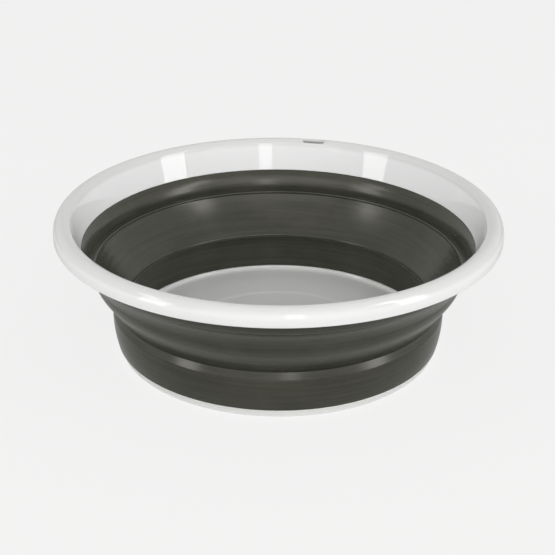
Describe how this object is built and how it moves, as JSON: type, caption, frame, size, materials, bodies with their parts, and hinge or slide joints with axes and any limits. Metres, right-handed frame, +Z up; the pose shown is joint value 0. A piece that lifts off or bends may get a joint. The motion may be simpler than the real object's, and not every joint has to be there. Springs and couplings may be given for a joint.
{
  "type": "collapsible wash basin",
  "caption": "Round wash basin with a glossy rim lip and flat base joined by a grey rubber wall that folds down on itself, shown open, with a hanging slot in the lip.",
  "frame": {"origin": "centre of the foot ring, on the plane that the basin stands on", "axes": "+Z up, out of the basin's mouth; +Y towards the hanging slot in the rim"},
  "size_m": [0.37, 0.37, 0.1177],
  "materials": {
    "white_plastic": "glossy moulded polypropylene",
    "grey_rubber": "satin thermoplastic rubber"
  },
  "bodies": {
    "base": {"base_tray": "white_plastic", "lower_wall_band": "grey_rubber", "middle_fold_band": "grey_rubber"},
    "rim": {"rim_ring": "white_plastic", "upper_wall_band": "grey_rubber"}
  },
  "joints": [
    {"name": "wall_collapse", "type": "slide", "parent": "base", "child": "rim", "axis": [0, 0, 1], "range_m": [-0.069, 0], "deforming": ["middle_fold_band"]}
  ]
}
